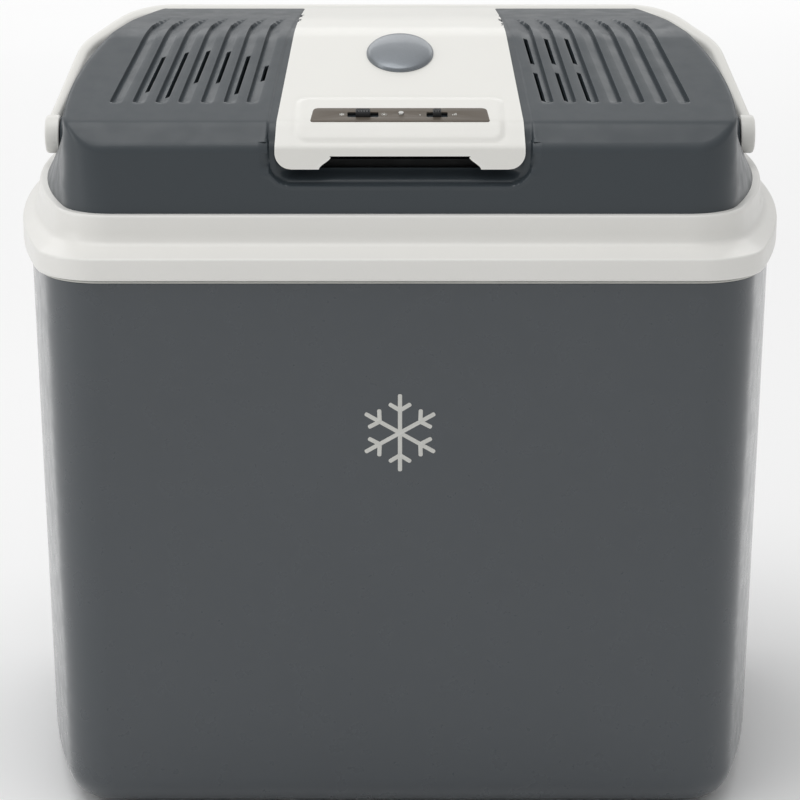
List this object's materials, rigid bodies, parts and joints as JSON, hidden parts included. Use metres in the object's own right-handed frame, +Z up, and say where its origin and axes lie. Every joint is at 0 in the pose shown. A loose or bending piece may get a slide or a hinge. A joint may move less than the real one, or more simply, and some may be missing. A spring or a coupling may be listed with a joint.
{
  "type": "thermoelectric cool box",
  "caption": "Portable insulated cool box: tapered tub, hinged lid holding the cooling unit, slide switches, vent grooves and a folding bail handle.",
  "frame": {"origin": "on the floor under the middle of the whole box, hinge and lid included", "axes": "+Z up, +X along the width, +Y towards the hinge at the back; the controls face -Y"},
  "size_m": [0.435, 0.296, 0.428],
  "materials": {
    "shell": "gloss",
    "trim_light": "satin",
    "liner_white": "gloss",
    "foam": "matte",
    "feet_rubber": "matte",
    "gasket_rubber": "matte",
    "screw_steel": "satin",
    "frame_white": "satin",
    "cover_grey": "satin",
    "panel_white": "satin",
    "handle_white": "satin",
    "pivot_plastic": "satin",
    "cup_black": "matte",
    "plate_bronze": "satin",
    "badge_silver": "satin",
    "led_clear": "gloss",
    "board_green": "satin",
    "black_plastic": "satin",
    "knob_black": "satin",
    "sink_aluminium": "satin",
    "module_ceramic": "matte"
  },
  "bodies": {
    "tub": {"outer_shell": "shell", "rim_trim": "trim_light", "inner_liner": "liner_white", "foam_insulation": "foam", "base_feet": "feet_rubber", "foot_screws": "screw_steel", "hinge_brackets": "shell", "hinge_pins": "screw_steel", "bracket_screws": "screw_steel"},
    "lid": {"lid_frame": "frame_white", "lid_liner": "liner_white", "lid_foam": "foam", "lid_gasket": "gasket_rubber", "hinge_knuckles": "frame_white", "knuckle_screws": "screw_steel", "top_cover": "cover_grey", "grip_cup": "cup_black", "control_panel": "panel_white", "switch_plate": "plate_bronze", "badge": "badge_silver", "led_lens": "led_clear", "control_board": "board_green", "mode_switch_body": "black_plastic", "eco_switch_body": "black_plastic", "cover_screws": "screw_steel", "cold_sink": "sink_aluminium", "spacer_block": "sink_aluminium", "peltier_module": "module_ceramic", "hot_sink": "sink_aluminium", "sink_screws": "screw_steel", "hot_fan_frame": "black_plastic", "cold_fan_frame": "black_plastic", "fan_screws": "screw_steel", "cold_grille": "liner_white", "power_board": "board_green", "inlet_plate": "black_plastic", "dc_inlet": "black_plastic", "ac_inlet": "black_plastic", "thermal_switch": "screw_steel", "handle_pivots": "pivot_plastic"},
    "handle": {"handle": "handle_white"},
    "mode_knob": {"mode_knob": "knob_black"},
    "eco_knob": {"eco_knob": "knob_black"},
    "hot_fan_rotor": {"hot_fan_rotor": "black_plastic"},
    "cold_fan_rotor": {"cold_fan_rotor": "black_plastic"}
  },
  "joints": [
    {"name": "lid_hinge", "type": "hinge", "parent": "tub", "child": "lid", "pos_m": [0, 0.143, 0.304], "axis": [-1, 0, 0], "range_deg": [0, 95]},
    {"name": "handle_pivot", "type": "hinge", "parent": "lid", "child": "handle", "pos_m": [0, 0.007, 0.362], "axis": [1, 0, 0], "range_deg": [0, 115]},
    {"name": "mode_slide", "type": "slide", "parent": "lid", "child": "mode_knob", "axis": [1, 0, 0], "range_m": [-0.004, 0.004]},
    {"name": "eco_slide", "type": "slide", "parent": "lid", "child": "eco_knob", "axis": [1, 0, 0], "range_m": [-0.003, 0.003]},
    {"name": "hot_fan_spin", "type": "hinge", "parent": "lid", "child": "hot_fan_rotor", "pos_m": [0, 0.012, 0.388], "axis": [0, 0, 1], "continuous": true},
    {"name": "cold_fan_spin", "type": "hinge", "parent": "lid", "child": "cold_fan_rotor", "pos_m": [0, 0.012, 0.288], "axis": [0, 0, 1], "continuous": true}
  ]
}
